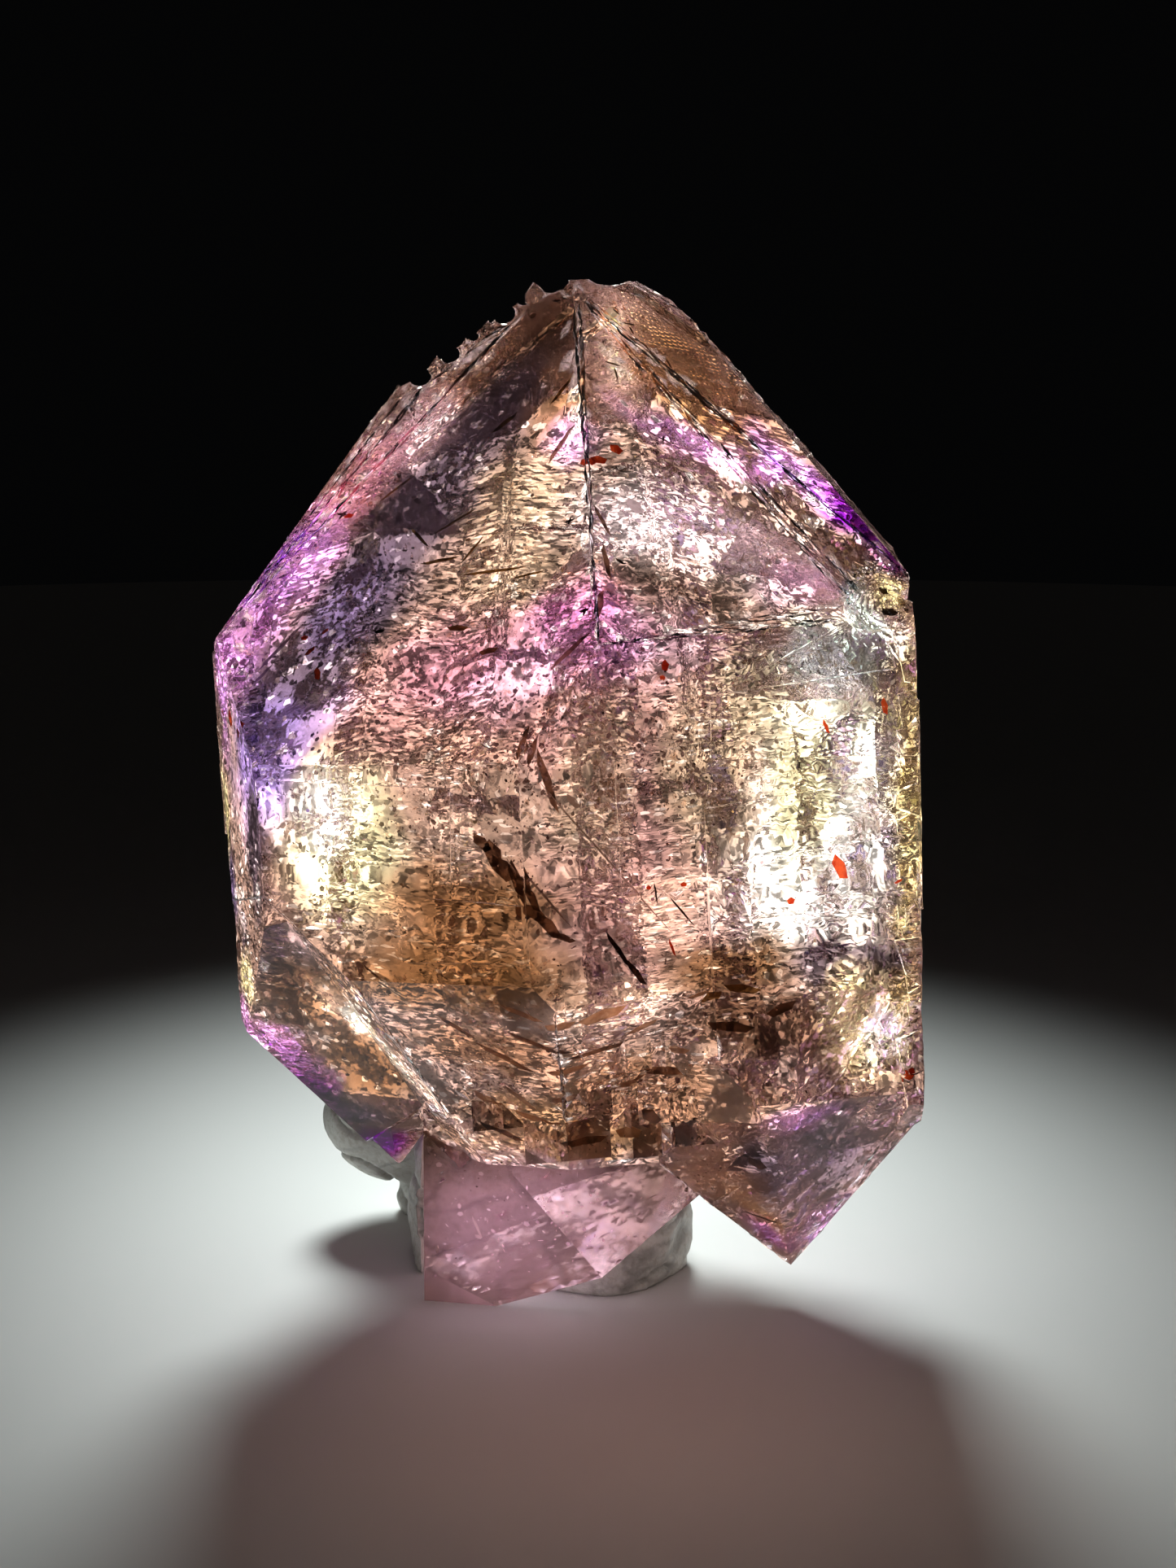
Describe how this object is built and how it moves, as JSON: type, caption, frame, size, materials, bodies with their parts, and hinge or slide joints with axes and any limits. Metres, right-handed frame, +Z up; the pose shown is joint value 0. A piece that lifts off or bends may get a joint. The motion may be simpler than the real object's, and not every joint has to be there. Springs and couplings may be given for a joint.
{
  "type": "amethyst crystal specimen",
  "caption": "Smoky amethyst crystal specimen: parallel quartz crystals grown together into one clear piece with a pointed top, standing on a lump of putty.",
  "frame": {"origin": "middle of the bounding box, on the table that the foot crystal and the putty stand on", "axes": "+Z up along the height of the crystal, +X to the right of the picture, -Y towards the viewer"},
  "size_m": [0.0372, 0.0346, 0.0538],
  "materials": {
    "amethyst": "polished",
    "putty": "matte"
  },
  "bodies": {
    "root": {"crystal": "amethyst", "putty": "putty"}
  },
  "joints": []
}
